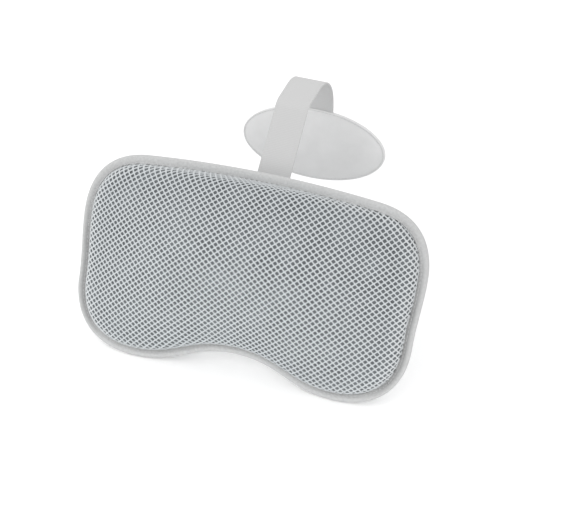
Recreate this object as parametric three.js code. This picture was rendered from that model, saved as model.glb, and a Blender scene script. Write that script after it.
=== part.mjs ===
// A bath pillow that hangs over a bathtub's rim: a domed, net-faced cushion with a bound edge,
// a flat strap that lies over the rim, and an oval counterweight pad on the strap's other end.
// Millimetres. X runs along the pillow, Y from the bather out over the rim, Z up.
// The origin is the middle of the strap's underside, where it lies on the rim.
import * as THREE from 'three';

// Shared clearances and colours
const CLEAR = 0.3;
const NET_GREY = 0xd3d7d9;
const BACKING_GREY = 0x7c8387;
const BINDING_GREY = 0xc1c5c8;
const STRAP_GREY = 0xd0d0d0;
const COVER_GREY = 0xd4d4d5;
const THREAD_GREY = 0xb9bdc0;
const FOAM_WHITE = 0xe9e6dc;
const STEEL_GREY = 0x9a9da0;

// Pillow outline, seen square on: v is up the pillow, u along it
const PILLOW_WIDTH = 340;
const TOP_RISE = 94.5;
const TOP_BOW = 5.5;
const CORNER_WIDTH = 56;
const CORNER_HEIGHT = 63;
const SIDE_TAPER = 4;
const LOBE_DROP = 104;
const LOBE_WIDTH = 66.5;
const LOBE_HEIGHT = 64;
const NOTCH_DEPTH = 23;
const PILLOW_LEAN = THREE.MathUtils.degToRad(27.4);

// Pillow body
const DOME_RISE = 43;
const WALL_RISE = 14;
const WALL_TOP_SWELL = 12;
const WALL_NOTCH_SWELL = 5.5;
const WALL_RUN = 5;
const CROWN_POWER = 1.8;
const SPINE_HALF_LENGTH = 24;
const SPINE_RISE = 15;
const NET_THICKNESS = 1;
const BACKING_THICKNESS = 0.6;
const PANEL_THICKNESS = 0.9;
const BACK_DEPTH = 20;
const BACK_FLAT_DRAW = 0.22;
const BACK_ROUND_POWER = 2;

// Edge binding, a tape folded over the raw edges of the three layers
const BINDING_WIDTH = 7.7;
const TAPE_THICKNESS = 1.5;
const SEAM_ALLOWANCE = 5.2;
const THREAD_RADIUS = 0.35;
const STITCH_FROM_TAPE_EDGE = 1.5;

// Strap
const STRAP_WIDTH = 33;
const STRAP_THICKNESS = 1.6;
const STRAP_LEG_LEAN = THREE.MathUtils.degToRad(49.2);
const FRONT_LEG_LENGTH = 84.7;
const FRONT_BEND_RADIUS = 18;
const SADDLE_LENGTH = 24;
const REAR_BEND_RADIUS = 42;
const REAR_FLEX_TURN = THREE.MathUtils.degToRad(60);
const REAR_DROP_LENGTH = 8;
const SEAM_TO_FLEX = 2;
const STRAP_ROOT_RISE = 71;
const SEWN_TAB_LENGTH = 56;
const BOX_STITCH_LENGTH = 40;
const BOX_STITCH_MARGIN = 4;
const BOX_STITCH_LINE = 1;
const BOX_STITCH_THICKNESS = 0.6;

// Counterweight pad
const WEIGHT_WIDTH = 147;
const WEIGHT_HEIGHT = 71.5;
const WEIGHT_THICKNESS = 10;
const WEIGHT_LEAN = THREE.MathUtils.degToRad(16);
const COVER_THICKNESS = 1;
const COVER_RIM_WIDTH = 3.2;
const EDGE_BAND_WIDTH = 4;
const COVER_SIDE_POWER = 2.4;
const COVER_TOP_POWER = 1.7;
const END_TAB_LENGTH = 10;
const PLATE_THICKNESS = 2.5;
const PLATE_END_MARGIN = 14;
const PLATE_FOOT_MARGIN = 12;
const PLATE_BELOW_TAB = 3;
const PAD_EDGE_DRAW = 0.3;

// Steps of the faceted surfaces
const OUTLINE_STEPS_PER_SIDE = 28;
const WEIGHT_STEPS = 40;
const WALL_TURNS = [0, 24, 50, 80].map((turn) => THREE.MathUtils.degToRad(turn));
const CROWN_DRAWS = [0.12, 0.28, 0.48, 0.7, 0.9];
const BACK_ROUND_SHARES = [0, 0.12, 0.35, 0.65, 1];
const COVER_DRAWS = [0, 0.1, 0.3, 0.6];
const THREAD_SIDES = 4;
const BEND_STEPS = 10;
const ROUND_END_STEPS = 6;
const TAPE_ROUND_STEPS = 5;
const ROUND_HANDLE = 0.62;
const NOTCH_HANDLE = 0.44;

// Heights of the layers in the bound edge, from the back of the tape to its front
const bindingBack = 0;
const panelBack = bindingBack + TAPE_THICKNESS + CLEAR;
const panelFront = panelBack + PANEL_THICKNESS;
const backingBack = panelFront + CLEAR;
const backingFront = backingBack + BACKING_THICKNESS;
const netBack = backingFront + CLEAR;
const netFront = netBack + NET_THICKNESS;
const bindingSlotFront = netFront + CLEAR;
const bindingFront = bindingSlotFront + TAPE_THICKNESS;
const layerEdgeInset = BINDING_WIDTH - SEAM_ALLOWANCE;
const wallInset = BINDING_WIDTH + CLEAR;

// A point on a closed outline, with the way inward and the point on the spine that it is drawn to
function outlinePoint(point, tangent, spine) {
  const inward = new THREE.Vector2(tangent.y, -tangent.x).normalize();
  return { point, inward, spine };
}

function pillowSpine(point) {
  const share = point.x / (PILLOW_WIDTH / 2);
  return new THREE.Vector2(SPINE_HALF_LENGTH * share, SPINE_RISE);
}

// The right half of the outline, from the middle of the top edge down to the middle of the neck notch
function pillowHalfCurve() {
  const vector = (x, y) => new THREE.Vector2(x, y);
  const halfWidth = PILLOW_WIDTH / 2;
  const top = vector(0, TOP_RISE);
  const corner = vector(halfWidth - CORNER_WIDTH, TOP_RISE - TOP_BOW);
  const side = vector(halfWidth, corner.y - CORNER_HEIGHT);
  const lobeSide = vector(halfWidth - SIDE_TAPER, LOBE_HEIGHT - LOBE_DROP);
  const lobeFoot = vector(lobeSide.x - LOBE_WIDTH, -LOBE_DROP);
  const notch = vector(0, NOTCH_DEPTH - LOBE_DROP);
  const topSlope = (-2 * TOP_BOW) / corner.x;
  const topHandle = corner.x / 3;
  const cornerHandle = CORNER_WIDTH * ROUND_HANDLE;
  const sideHandle = (side.y - lobeSide.y) / 3;
  const notchHandle = lobeFoot.x * NOTCH_HANDLE;
  const curve = new THREE.CurvePath();
  const add = (from, leave, arrive, to) => curve.add(new THREE.CubicBezierCurve(from, leave, arrive, to));
  add(top, vector(topHandle, top.y), vector(corner.x - topHandle, corner.y - topSlope * topHandle), corner);
  add(
    corner,
    vector(corner.x + cornerHandle, corner.y + topSlope * cornerHandle),
    vector(side.x, side.y + CORNER_HEIGHT * ROUND_HANDLE),
    side,
  );
  add(side, vector(side.x, side.y - sideHandle), vector(lobeSide.x, lobeSide.y + sideHandle), lobeSide);
  add(
    lobeSide,
    vector(lobeSide.x, lobeSide.y - LOBE_HEIGHT * ROUND_HANDLE),
    vector(lobeFoot.x + LOBE_WIDTH * ROUND_HANDLE, lobeFoot.y),
    lobeFoot,
  );
  add(lobeFoot, vector(lobeFoot.x - notchHandle, lobeFoot.y), vector(notchHandle, notch.y), notch);
  return curve;
}

// The whole outline, clockwise from the middle of the top edge, the left half mirrored from the right
function pillowOutline() {
  const curve = pillowHalfCurve();
  const right = [];
  for (let step = 0; step <= OUTLINE_STEPS_PER_SIDE; step += 1) {
    const share = step / OUTLINE_STEPS_PER_SIDE;
    const point = curve.getPointAt(share);
    const onAxis = step === 0 || step === OUTLINE_STEPS_PER_SIDE;
    const tangent = onAxis ? new THREE.Vector2(step === 0 ? 1 : -1, 0) : curve.getTangentAt(share);
    right.push(outlinePoint(point, tangent, pillowSpine(point)));
  }
  const mirror = (vector) => new THREE.Vector2(-vector.x, vector.y);
  const left = right.slice(1, -1).reverse().map(({ point, inward, spine }) => ({
    point: mirror(point),
    inward: mirror(inward),
    spine: mirror(spine),
  }));
  return [...right, ...left];
}

// The counterweight's oval, clockwise from its top
function weightOutline() {
  const spineHalf = (WEIGHT_WIDTH - WEIGHT_HEIGHT) / 2;
  const outline = [];
  for (let step = 0; step < WEIGHT_STEPS; step += 1) {
    const angle = (step / WEIGHT_STEPS) * 2 * Math.PI;
    const across = Math.sin(angle);
    const up = Math.cos(angle);
    const point = new THREE.Vector2((across * WEIGHT_WIDTH) / 2, (up * WEIGHT_HEIGHT) / 2);
    const tangent = new THREE.Vector2(up * WEIGHT_WIDTH, -across * WEIGHT_HEIGHT);
    outline.push(outlinePoint(point, tangent, new THREE.Vector2(spineHalf * across, 0)));
  }
  return outline;
}

// One ring: the outline moved in by an inset, then drawn by a share of the way to the spine, at a
// height that may follow the outline
function ring(outline, inset, draw, height) {
  return outline.map(({ point, inward, spine }) => {
    const moved = point.clone().addScaledVector(inward, inset).lerp(spine, draw);
    return new THREE.Vector3(moved.x, moved.y, typeof height === 'function' ? height(point) : height);
  });
}

// Triangles that fill a flat ring, turning the way its points run
function fill(points, first) {
  const flat = points.map(({ x, y }) => new THREE.Vector2(x, y));
  const runs = THREE.ShapeUtils.area(flat) > 0;
  return THREE.ShapeUtils.triangulateShape([...flat], []).flatMap(([a, b, c]) => {
    const turns = THREE.ShapeUtils.area([flat[a], flat[b], flat[c]]) > 0;
    return turns === runs ? [first + a, first + b, first + c] : [first + a, first + c, first + b];
  });
}

function reversed(triangles) {
  const turned = [];
  for (let i = 0; i < triangles.length; i += 3) {
    turned.push(triangles[i], triangles[i + 2], triangles[i + 1]);
  }
  return turned;
}

function signedVolume(points, triangles) {
  let volume = 0;
  for (let i = 0; i < triangles.length; i += 3) {
    const [a, b, c] = [points[triangles[i]], points[triangles[i + 1]], points[triangles[i + 2]]];
    volume += a.dot(b.clone().cross(c)) / 6;
  }
  return volume;
}

// A closed surface through rings of points. A tube's rings close on each other, and an open run
// has ends; without either, the first and last rings are filled.
function loft(rings, { tube = false, openRun = false } = {}) {
  const count = rings[0].length;
  const points = rings.flat();
  const bands = tube ? rings.length : rings.length - 1;
  const steps = openRun ? count - 1 : count;
  const triangles = [];
  for (let band = 0; band < bands; band += 1) {
    const here = band * count;
    const next = ((band + 1) % rings.length) * count;
    for (let j = 0; j < steps; j += 1) {
      const k = (j + 1) % count;
      triangles.push(here + j, here + k, next + k, here + j, next + k, next + j);
    }
  }
  if (!tube) {
    const last = rings.length - 1;
    triangles.push(...reversed(fill(rings[0], 0)), ...fill(rings[last], last * count));
  }
  if (openRun) {
    for (let i = 1; i < rings.length - 1; i += 1) {
      const here = i * count;
      const next = here + count;
      triangles.push(0, here, next, count - 1, next + count - 1, here + count - 1);
    }
  }
  const facingOut = signedVolume(points, triangles) > 0 ? triangles : reversed(triangles);
  const geometry = new THREE.BufferGeometry().setFromPoints(points);
  geometry.setIndex(facingOut);
  geometry.computeVertexNormals();
  return geometry;
}

// How high a puffed face stands, as a share of its full height, where it is drawn in by a share
function puff(draw, sidePower, topPower) {
  return (1 - (1 - draw) ** sidePower) ** (1 / topPower);
}

// How high the dome's wall stands: highest at the middle of the top edge, and raised at the notch
function wallRise({ x, y }) {
  const middle = (1 - ((2 * x) / PILLOW_WIDTH) ** 2) ** 3;
  return WALL_RISE + (y > 0 ? WALL_TOP_SWELL : WALL_NOTCH_SWELL) * middle;
}

// One layer's surface over the dome, `depth` below the front of the net: a low rounded wall above
// the binding, and a broad crown over the whole face
function domeRings(outline, depth) {
  const rim = netFront - depth;
  const foot = wallInset + depth;
  const wall = WALL_TURNS.map((turn) => {
    const rise = (point) => rim + wallRise(point) * Math.sin(turn);
    return ring(outline, foot + WALL_RUN * (1 - Math.cos(turn)), 0, rise);
  });
  const lastTurn = WALL_TURNS[WALL_TURNS.length - 1];
  const shoulder = foot + WALL_RUN * (1 - Math.cos(lastTurn));
  const crown = CROWN_DRAWS.map((draw) => {
    const rise = (point) => {
      const wallTop = wallRise(point) * Math.sin(lastTurn);
      return rim + wallTop + (DOME_RISE - wallTop) * puff(draw, CROWN_POWER, 1);
    };
    return ring(outline, shoulder, draw, rise);
  });
  return [...wall, ...crown];
}

// A layer of the front: a flange held in the binding, and the dome
function frontLayer(outline, front, back) {
  const outer = domeRings(outline, netFront - front);
  const inner = domeRings(outline, netFront - back).reverse();
  const flange = [ring(outline, layerEdgeInset, 0, back), ring(outline, layerEdgeInset, 0, front)];
  return loft([...inner, ...flange, ...outer]);
}

// One layer's surface over the back, which rounds off to a flat middle: `depth` inside the panel
function backRings(outline, depth) {
  return BACK_ROUND_SHARES.map((share) => {
    const sunk = (BACK_DEPTH + panelBack) * puff(share, BACK_ROUND_POWER, BACK_ROUND_POWER);
    return ring(outline, wallInset + depth, BACK_FLAT_DRAW * share, panelBack + depth - sunk);
  });
}

// The foam fills the dome and the rounded back, clear of both layers
function foamCore(outline) {
  const back = backRings(outline, PANEL_THICKNESS + CLEAR).slice(1).reverse();
  const front = domeRings(outline, netFront - backingBack + CLEAR);
  return loft([...back, ...front]);
}

// The back panel: a flange held in the binding, and the rounded back
function backPanel(outline) {
  const outer = backRings(outline, 0);
  const inner = backRings(outline, PANEL_THICKNESS).reverse();
  const flange = [ring(outline, layerEdgeInset, 0, panelFront), ring(outline, layerEdgeInset, 0, panelBack)];
  return loft([...inner, ...flange, ...outer]);
}

// The tape's section: a fold with a rounded outer edge, open inward
function edgeBinding(outline) {
  const radius = (bindingFront - bindingBack) / 2;
  const section = [[BINDING_WIDTH, bindingBack]];
  for (let step = 0; step <= TAPE_ROUND_STEPS; step += 1) {
    const angle = (step / TAPE_ROUND_STEPS - 0.5) * Math.PI;
    section.push([radius - radius * Math.cos(angle), bindingBack + radius + radius * Math.sin(angle)]);
  }
  const slotInset = layerEdgeInset - CLEAR;
  section.push([BINDING_WIDTH, bindingFront], [BINDING_WIDTH, bindingSlotFront]);
  section.push([slotInset, bindingSlotFront], [slotInset, bindingBack + TAPE_THICKNESS]);
  section.push([BINDING_WIDTH, bindingBack + TAPE_THICKNESS]);
  return loft(section.map(([inset, height]) => ring(outline, inset, 0, height)), { tube: true });
}

// A sewing thread that follows an outline
function threadRun(outline, inset, height) {
  const rings = [];
  for (let side = 0; side < THREAD_SIDES; side += 1) {
    const angle = (side / THREAD_SIDES) * 2 * Math.PI;
    const across = THREAD_RADIUS * Math.cos(angle);
    rings.push(ring(outline, inset + across, 0, height + THREAD_RADIUS * Math.sin(angle)));
  }
  return loft(rings, { tube: true });
}

// Strap pieces are sections in the Y-Z plane, run across the strap's width
const ACROSS_STRAP = new THREE.Matrix4().makeBasis(
  new THREE.Vector3(0, 1, 0),
  new THREE.Vector3(0, 0, 1),
  new THREE.Vector3(1, 0, 0),
);

// A strip of the strap's thickness along a centre line; its start is rounded on the flex line it turns about
function strapPiece(line, roundStart) {
  const half = STRAP_THICKNESS / 2;
  const sides = line.map((point, i) => {
    const before = line[Math.max(i - 1, 0)];
    const after = line[Math.min(i + 1, line.length - 1)];
    const along = after.clone().sub(before).normalize();
    const across = new THREE.Vector2(-along.y, along.x).multiplyScalar(half);
    return { point, along, across };
  });
  const edge = sides.map(({ point, across }) => point.clone().add(across));
  const back = sides.map(({ point, across }) => point.clone().sub(across)).reverse();
  const end = [];
  if (roundStart) {
    const { point, along, across } = sides[0];
    for (let step = 1; step < ROUND_END_STEPS; step += 1) {
      const angle = (step / ROUND_END_STEPS) * Math.PI;
      const turned = across.clone().multiplyScalar(-Math.cos(angle));
      end.push(point.clone().add(turned).addScaledVector(along, -half * Math.sin(angle)));
    }
  }
  const options = { depth: STRAP_WIDTH, bevelEnabled: false };
  const geometry = new THREE.ExtrudeGeometry(new THREE.Shape([...edge, ...back, ...end]), options);
  return geometry.translate(0, 0, -STRAP_WIDTH / 2).applyMatrix4(ACROSS_STRAP);
}

// A square-cut end stops this far short of the flex line, clear of the rounded end that turns there
const flexGap = STRAP_THICKNESS / 2 + CLEAR;

// The strap's centre line, from the rim forward to the pillow and backward to the counterweight
const saddleHeight = STRAP_THICKNESS / 2;
const legDrop = Math.PI / 2 - STRAP_LEG_LEAN;
const alongFrontLeg = new THREE.Vector2(-Math.cos(legDrop), -Math.sin(legDrop));
const frontBendCentre = new THREE.Vector2(-SADDLE_LENGTH / 2, saddleHeight - FRONT_BEND_RADIUS);
const rearBendCentre = new THREE.Vector2(SADDLE_LENGTH / 2, saddleHeight - REAR_BEND_RADIUS);

function onBend(centre, radius, angle) {
  return new THREE.Vector2(centre.x + radius * Math.sin(angle), centre.y + radius * Math.cos(angle));
}

const frontFlex = onBend(frontBendCentre, FRONT_BEND_RADIUS, -legDrop);
const pillowFlex = frontFlex.clone().addScaledVector(alongFrontLeg, FRONT_LEG_LENGTH);
const rearBendEnd = onBend(rearBendCentre, REAR_BEND_RADIUS, Math.PI / 2);
const weightFlex = rearBendEnd.clone().add(new THREE.Vector2(0, -REAR_DROP_LENGTH));

function strapSaddle() {
  const line = [];
  const frontEnd = legDrop - flexGap / FRONT_BEND_RADIUS;
  const rearEnd = REAR_FLEX_TURN - flexGap / REAR_BEND_RADIUS;
  for (let step = 0; step <= BEND_STEPS; step += 1) {
    line.push(onBend(frontBendCentre, FRONT_BEND_RADIUS, -frontEnd * (1 - step / BEND_STEPS)));
  }
  for (let step = 0; step <= BEND_STEPS; step += 1) {
    line.push(onBend(rearBendCentre, REAR_BEND_RADIUS, (rearEnd * step) / BEND_STEPS));
  }
  return strapPiece(line, false);
}

function strapFrontLeg() {
  const foot = frontFlex.clone().addScaledVector(alongFrontLeg, FRONT_LEG_LENGTH - flexGap);
  return strapPiece([frontFlex, foot], true);
}

// The rear leg takes the last of the rear bend and a short drop to the counterweight
function strapRearLeg() {
  const line = [];
  for (let step = 0; step <= BEND_STEPS; step += 1) {
    const angle = REAR_FLEX_TURN + ((Math.PI / 2 - REAR_FLEX_TURN) * step) / BEND_STEPS;
    line.push(onBend(rearBendCentre, REAR_BEND_RADIUS, angle));
  }
  line.push(weightFlex.clone().add(new THREE.Vector2(0, flexGap)));
  return strapPiece(line, true);
}

// A strap end that lies flat in u and v, from its rounded top at a flex line down by a length
function strapFlatEnd(top, length, level) {
  const half = STRAP_THICKNESS / 2;
  const shape = new THREE.Shape();
  shape.moveTo(top, half);
  shape.lineTo(top - length, half);
  shape.lineTo(top - length, -half);
  shape.lineTo(top, -half);
  shape.absarc(top, 0, half, -Math.PI / 2, Math.PI / 2, false);
  const options = { depth: STRAP_WIDTH, bevelEnabled: false, curveSegments: ROUND_END_STEPS };
  const geometry = new THREE.ExtrudeGeometry(shape, options);
  return geometry.translate(0, level, -STRAP_WIDTH / 2).applyMatrix4(ACROSS_STRAP);
}

// The middle of the thickness of the tab that is sewn on the flat of the pillow's back
const tabLevel = -BACK_DEPTH - CLEAR - STRAP_THICKNESS / 2;

const strapSewnTab = () => strapFlatEnd(STRAP_ROOT_RISE, SEWN_TAB_LENGTH, tabLevel);

// A sewn box with crossed diagonals that holds the tab to the back panel
function boxStitch() {
  const halfWidth = STRAP_WIDTH / 2 - BOX_STITCH_MARGIN;
  const halfLength = BOX_STITCH_LENGTH / 2;
  const line = BOX_STITCH_LINE;
  const rectangle = (x, y) => [
    new THREE.Vector2(-x, -y),
    new THREE.Vector2(x, -y),
    new THREE.Vector2(x, y),
    new THREE.Vector2(-x, y),
  ];
  const shape = new THREE.Shape(rectangle(halfWidth + line / 2, halfLength + line / 2));
  const corners = rectangle(halfWidth, halfLength);
  corners.forEach((corner, i) => {
    const next = corners[(i + 1) % corners.length];
    const centre = new THREE.Vector2();
    const middle = corner.clone().add(next).divideScalar(3);
    const inset = Math.min(halfWidth, halfLength) / 3;
    const inside = (point) => point.clone().lerp(middle, line / (2 * inset));
    shape.holes.push(new THREE.Path([inside(corner), inside(centre), inside(next)]));
  });
  const geometry = new THREE.ExtrudeGeometry(shape, { depth: BOX_STITCH_THICKNESS, bevelEnabled: false });
  const middleUp = STRAP_ROOT_RISE - SEWN_TAB_LENGTH + BOX_STITCH_MARGIN + halfLength;
  return geometry.translate(0, middleUp, tabLevel - STRAP_THICKNESS / 2 - CLEAR - BOX_STITCH_THICKNESS);
}

// Counterweight levels, from its middle plane to either face
const bandFace = STRAP_THICKNESS / 2;
const coverBack = bandFace + CLEAR;
const coverRimFace = coverBack + COVER_THICKNESS;
const coverPuff = WEIGHT_THICKNESS / 2 - coverRimFace;
const coverRise = (draw) => coverPuff * puff(draw, COVER_SIDE_POWER, COVER_TOP_POWER);

function coverRings(outline, back) {
  return COVER_DRAWS.map((draw) => ring(outline, COVER_RIM_WIDTH, draw, back + coverRise(draw)));
}

// One cover: a flat rim and a puffed middle, facing +w; the other cover is this one turned over
function weightCover(outline) {
  const rim = [ring(outline, 0, 0, coverBack), ring(outline, 0, 0, coverRimFace)];
  return loft([...coverRings(outline, coverBack).reverse(), ...rim, ...coverRings(outline, coverRimFace)]);
}

// The band between the covers' rims, open at the top where the strap goes in
function weightEdgeBand(outline) {
  const reach = STRAP_WIDTH / 2 + CLEAR;
  const run = outline.filter(({ point }) => point.y < 0 || Math.abs(point.x) > reach);
  const section = [[0, -bandFace], [EDGE_BAND_WIDTH, -bandFace], [EDGE_BAND_WIDTH, bandFace], [0, bandFace]];
  return loft(section.map(([inset, height]) => ring(run, inset, 0, height)), { tube: true, openRun: true });
}

// The plate lies between the strap's end and the lower rim
function weightPlate() {
  const top = WEIGHT_HEIGHT / 2 - END_TAB_LENGTH - PLATE_BELOW_TAB;
  const foot = PLATE_FOOT_MARGIN - WEIGHT_HEIGHT / 2;
  const halfWidth = WEIGHT_WIDTH / 2 - PLATE_END_MARGIN;
  const shape = new THREE.Shape();
  shape.absellipse(0, (top + foot) / 2, halfWidth, (top - foot) / 2, 0, 2 * Math.PI, false);
  const options = { depth: PLATE_THICKNESS, bevelEnabled: false, curveSegments: WEIGHT_STEPS / 2 };
  return new THREE.ExtrudeGeometry(shape, options).translate(0, 0, -PLATE_THICKNESS / 2);
}

// Wadding between the plate and a cover, following the cover's inside
function weightPad(outline) {
  const foot = PLATE_THICKNESS / 2 + CLEAR;
  const draws = COVER_DRAWS.filter((draw) => draw >= PAD_EDGE_DRAW);
  const under = coverBack - CLEAR;
  const face = draws.map((draw) => ring(outline, COVER_RIM_WIDTH, draw, under + coverRise(draw)));
  return loft([ring(outline, COVER_RIM_WIDTH, PAD_EDGE_DRAW, foot), ...face]);
}

// The strap's end, from the flex line at the seam down between the covers
const strapEndTab = () => strapFlatEnd(WEIGHT_HEIGHT / 2 + SEAM_TO_FLEX, SEAM_TO_FLEX + END_TAB_LENGTH, 0);

function part(name, geometry, color, roughness, metalness = 0) {
  const mesh = new THREE.Mesh(geometry, new THREE.MeshStandardMaterial({ color, roughness, metalness }));
  mesh.name = name;
  return mesh;
}

// A group whose own axes are u along, v up and w toward the bather, leaning back from upright
function leaningGroup(lean, v, w, flex) {
  const group = new THREE.Group();
  group.rotation.x = Math.PI / 2 - lean;
  const y = flex.x - v * Math.sin(lean) + w * Math.cos(lean);
  const z = flex.y - v * Math.cos(lean) - w * Math.sin(lean);
  group.position.set(0, y, z);
  return group;
}

function pillow() {
  const outline = pillowOutline();
  const stitchInset = BINDING_WIDTH - STITCH_FROM_TAPE_EDGE;
  const needleHeight = bindingFront + CLEAR + THREAD_RADIUS;
  const bobbinHeight = bindingBack - CLEAR - THREAD_RADIUS;
  const group = leaningGroup(PILLOW_LEAN, STRAP_ROOT_RISE, tabLevel, pillowFlex);
  group.add(
    part('front_mesh', frontLayer(outline, netFront, netBack), NET_GREY, 0.8),
    part('mesh_backing', frontLayer(outline, backingFront, backingBack), BACKING_GREY, 0.95),
    part('foam_core', foamCore(outline), FOAM_WHITE, 0.95),
    part('back_panel', backPanel(outline), BINDING_GREY, 0.9),
    part('edge_binding', edgeBinding(outline), BINDING_GREY, 0.9),
    part('binding_needle_thread', threadRun(outline, stitchInset, needleHeight), THREAD_GREY, 0.7),
    part('binding_bobbin_thread', threadRun(outline, stitchInset, bobbinHeight), THREAD_GREY, 0.7),
    part('strap_sewn_tab', strapSewnTab(), STRAP_GREY, 0.75),
    part('strap_box_stitch', boxStitch(), THREAD_GREY, 0.7),
  );
  return group;
}

function strap() {
  const group = new THREE.Group();
  group.add(
    part('strap_saddle', strapSaddle(), STRAP_GREY, 0.75),
    part('strap_front_leg', strapFrontLeg(), STRAP_GREY, 0.75),
    part('strap_rear_leg', strapRearLeg(), STRAP_GREY, 0.75),
  );
  return group;
}

function counterweight() {
  const outline = weightOutline();
  const stitchInset = COVER_RIM_WIDTH / 2;
  const threadHeight = coverRimFace + CLEAR + THREAD_RADIUS;
  const group = leaningGroup(WEIGHT_LEAN, WEIGHT_HEIGHT / 2 + SEAM_TO_FLEX, 0, weightFlex);
  const turnedOver = (mesh) => mesh.rotateY(Math.PI);
  group.add(
    part('strap_end_tab', strapEndTab(), STRAP_GREY, 0.75),
    part('weight_inner_cover', weightCover(outline), COVER_GREY, 0.7),
    turnedOver(part('weight_outer_cover', weightCover(outline), COVER_GREY, 0.7)),
    part('weight_edge_band', weightEdgeBand(outline), COVER_GREY, 0.7),
    part('weight_plate', weightPlate(), STEEL_GREY, 0.5, 0.8),
    part('weight_inner_pad', weightPad(outline), FOAM_WHITE, 0.95),
    turnedOver(part('weight_outer_pad', weightPad(outline), FOAM_WHITE, 0.95)),
    part('weight_needle_thread', threadRun(outline, stitchInset, threadHeight), THREAD_GREY, 0.7),
    turnedOver(
      part('weight_bobbin_thread', threadRun(outline, stitchInset, threadHeight), THREAD_GREY, 0.7),
    ),
  );
  return group;
}

const bathPillow = new THREE.Group();
bathPillow.add(pillow(), strap(), counterweight());

export default bathPillow;
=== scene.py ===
"""Looks of a bath pillow: a net-faced cushion with a bound edge, its strap and its oval counterweight."""

import bisect
import math

import bmesh
import bpy
from mathutils import Matrix, Vector
from mathutils.bvhtree import BVHTree
from mathutils.geometry import interpolate_bezier


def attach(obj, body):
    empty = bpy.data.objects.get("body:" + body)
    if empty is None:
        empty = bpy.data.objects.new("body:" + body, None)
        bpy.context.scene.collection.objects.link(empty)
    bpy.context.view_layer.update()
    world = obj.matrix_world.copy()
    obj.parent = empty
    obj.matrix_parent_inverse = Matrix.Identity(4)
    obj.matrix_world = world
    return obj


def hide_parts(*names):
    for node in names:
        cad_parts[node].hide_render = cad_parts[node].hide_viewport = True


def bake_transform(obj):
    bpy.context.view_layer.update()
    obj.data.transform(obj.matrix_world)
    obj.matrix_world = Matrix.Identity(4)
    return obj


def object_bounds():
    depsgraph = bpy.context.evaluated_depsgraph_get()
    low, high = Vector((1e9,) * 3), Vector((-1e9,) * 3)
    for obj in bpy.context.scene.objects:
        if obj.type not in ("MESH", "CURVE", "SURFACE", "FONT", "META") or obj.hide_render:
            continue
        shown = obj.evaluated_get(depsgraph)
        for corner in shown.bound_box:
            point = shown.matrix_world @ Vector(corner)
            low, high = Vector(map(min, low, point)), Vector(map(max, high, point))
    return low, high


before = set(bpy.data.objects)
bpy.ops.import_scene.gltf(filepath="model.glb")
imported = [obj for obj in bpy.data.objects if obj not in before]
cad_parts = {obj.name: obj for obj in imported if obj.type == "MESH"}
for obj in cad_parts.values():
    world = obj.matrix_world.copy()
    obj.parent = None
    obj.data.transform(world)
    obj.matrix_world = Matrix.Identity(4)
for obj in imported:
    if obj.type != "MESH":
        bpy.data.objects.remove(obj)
cad_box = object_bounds()

# Every piece is shaped in millimetres on its own flat plan, u along it, v up it and w toward the bather,
# and is then placed in the frame's metres.
MM = 0.001
PILLOW_LEAN = math.radians(27.4)
WEIGHT_LEAN = math.radians(16)

# Pillow outline
HALF_WIDTH = 171
TOP_RISE = 94.5
TOP_BOW = 5.5
CORNER_WIDTH = 56
CORNER_HEIGHT = 63
SIDE_TAPER = 4
LOBE_DROP = 104
LOBE_WIDTH = 66.5
LOBE_HEIGHT = 64
NOTCH_DEPTH = 23
ROUND_HANDLE = 0.62
NOTCH_HANDLE = 0.44

# Pillow levels, from the back of its tape
NET_LEVEL = 4.9
DOME_RISE = 43
WALL_RISE = 14
WALL_TOP_SWELL = 12
WALL_NOTCH_SWELL = 5.5
WALL_RUN = 5
WALL_END_RUN = 7
WALL_TURN = math.radians(80)
CROWN_POWER = 1.8
FOOT_INSET = 8
SPINE_HALF = 24
SPINE_RISE = 15
PANEL_LEVEL = 1.8
BACK_DEPTH = 20
BACK_FLAT_DRAW = 0.22
BINDING_WIDTH = 7.7
BINDING_FRONT = 6.7
LAYER_INSET = 2.5
SEAM_INSET = 6.2

# Cushion: what its cloth simulation may do
SEWN_LEVEL = 14
SWELL_PRESSURE = 4
SWELL_CAP = 1.2 * MM
SWELL_FRAMES = 20
CUSHION_VOXEL = 4 * MM
UNDER_NET = 1.4

# Net: half the width and height of a cell, and the yarn round it
NET_ACROSS = 3.3
NET_UP = 2.91
NET_ROWS = 108
NET_RIB = 1.32
NET_THICKNESS = 1.25
NET_LIFT = 0.15
NET_SELVAGE = 2.6
# How far in from the net's foot its painted highlight reaches, in millimetres.
NET_HEM_HIGHLIGHT_REACH = 22
NET_PATHS = 360
PATH_STEPS = 80

# Tape and stitches
STITCHES = 240
STATIONS = STITCHES * 4
PUCKERS = 120
BOX_STITCH = 3.0
BOX_MARGIN = 4

# Strap
STRAP_WIDTH = 33
STRAP_THICKNESS = 1.6
LEG_LEAN = math.radians(49.2)
FRONT_LEG = 84.7
FRONT_BEND = 18
SADDLE = 24
REAR_BEND = 42
REAR_FLEX_TURN = math.radians(60)
REAR_DROP = 8
ROOT_RISE = 71
TAB_LENGTH = 56
BOX_LENGTH = 40
END_TAB = 10
SEAM_TO_FLEX = 2
TAB_LEVEL = -BACK_DEPTH - 0.3 - STRAP_THICKNESS / 2

# Counterweight
WEIGHT_WIDTH = 147
WEIGHT_HEIGHT = 71.5
WEIGHT_HALF_THICKNESS = 5
RIM_WIDTH = 3.2
RIM_BACK = 1.1
RIM_FACE = 2.1
WEIGHT_STATIONS = 160
WEIGHT_STITCHES = 112

# Stage and camera
FLOOR_GAP = 0.0008
FLOOR_GLOW = 0.23
WORLD_STRENGTH = 0.8
PHOTO_WIDTH = 577
PHOTO_HEIGHT = 517
MM_PER_PIXEL = 0.9407
CAMERA_AZIMUTH = math.radians(19.5)
CAMERA_ELEVATION = math.radians(37)
CAMERA_DISTANCE = 2.5
PILLOW_MIDDLE_PIXEL = (250.3, 270.5)


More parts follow.
